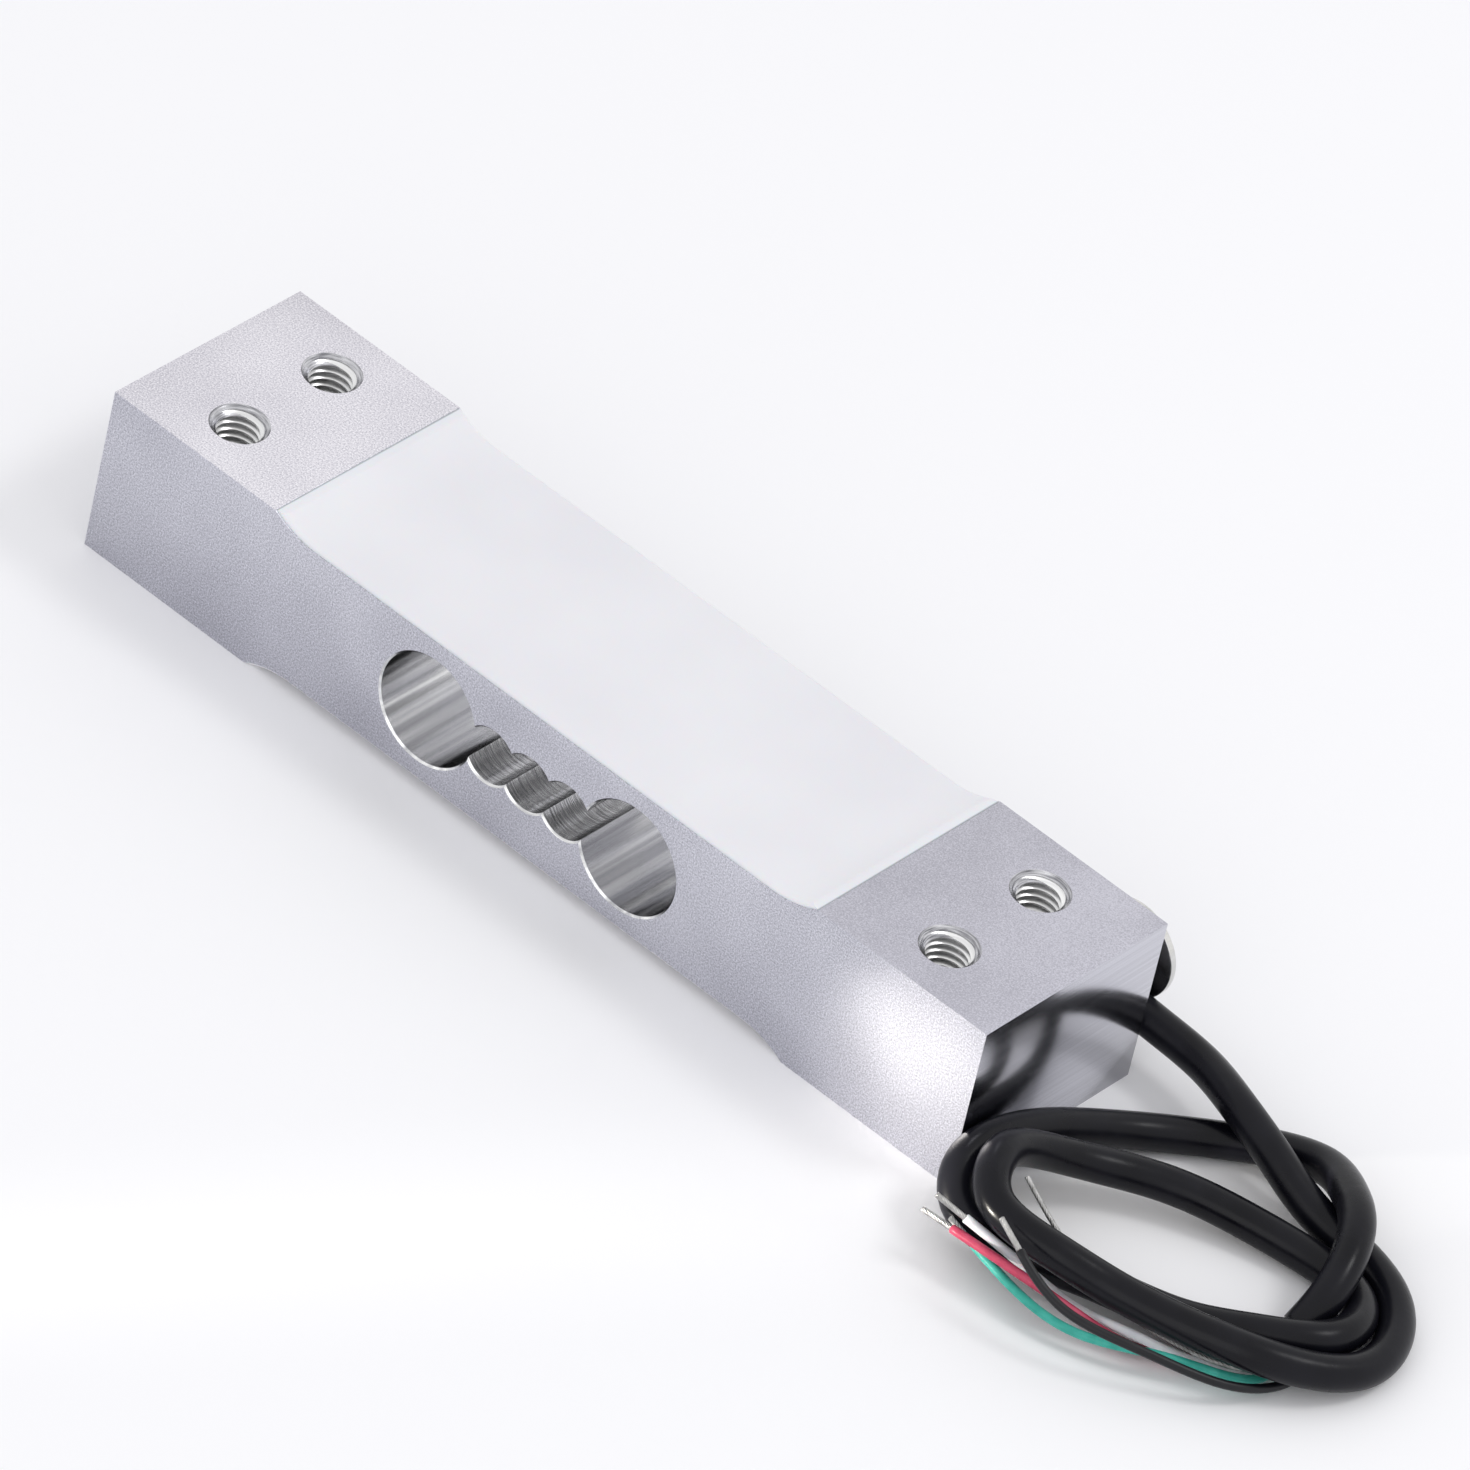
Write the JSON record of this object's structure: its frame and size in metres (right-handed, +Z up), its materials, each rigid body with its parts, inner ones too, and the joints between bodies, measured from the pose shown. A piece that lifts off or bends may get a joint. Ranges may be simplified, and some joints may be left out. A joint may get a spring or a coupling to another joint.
{
  "type": "parallel beam load cell",
  "caption": "Flat aluminium beam with threaded holes at both ends, a binocular cavity through its sides, white silicone coats over its gauges and a looped cable with bare leads.",
  "frame": {"origin": "middle of the beam's length and width, at the height of its underside", "axes": "+X along the beam to the fixed end where the cable leaves, +Z up through the threaded holes, +Y to the side with the cable clamp"},
  "size_m": [0.1801, 0.0491, 0.022],
  "materials": {
    "beam_metal": "milled and fine blasted",
    "white_silicone": "satin",
    "gauge_film": "thin polymer film with foil",
    "board_film": "thin polymer film with pads",
    "copper_wire": "enamelled",
    "resistor_body": "matte ceramic",
    "link_insulation": "matte",
    "washer_metal": "bright",
    "screw_metal": "plated",
    "black_jacket": "satin PVC",
    "red_insulation": "satin PVC",
    "black_insulation": "satin PVC",
    "green_insulation": "satin PVC",
    "white_insulation": "satin PVC",
    "tinned_wire": "tinned"
  },
  "bodies": {
    "root": {"beam_body": "beam_metal", "top_sealant": "white_silicone", "bottom_sealant": "white_silicone", "gauge_top_near_load": "gauge_film", "gauge_top_near_cable": "gauge_film", "gauge_bottom_near_load": "gauge_film", "gauge_bottom_near_cable": "gauge_film", "top_terminal_board": "board_film", "bottom_terminal_board": "board_film", "top_jumpers": "copper_wire", "bottom_jumpers": "copper_wire", "trim_resistor": "resistor_body", "link_wires": "link_insulation", "cavity_seal": "white_silicone", "clamp_washer": "washer_metal", "clamp_screw": "screw_metal", "cable_jacket": "black_jacket", "red_lead": "red_insulation", "black_lead": "black_insulation", "green_lead": "green_insulation", "white_lead": "white_insulation", "red_tip": "tinned_wire", "black_tip": "tinned_wire", "green_tip": "tinned_wire", "white_tip": "tinned_wire", "drain_wire": "tinned_wire"}
  },
  "joints": []
}
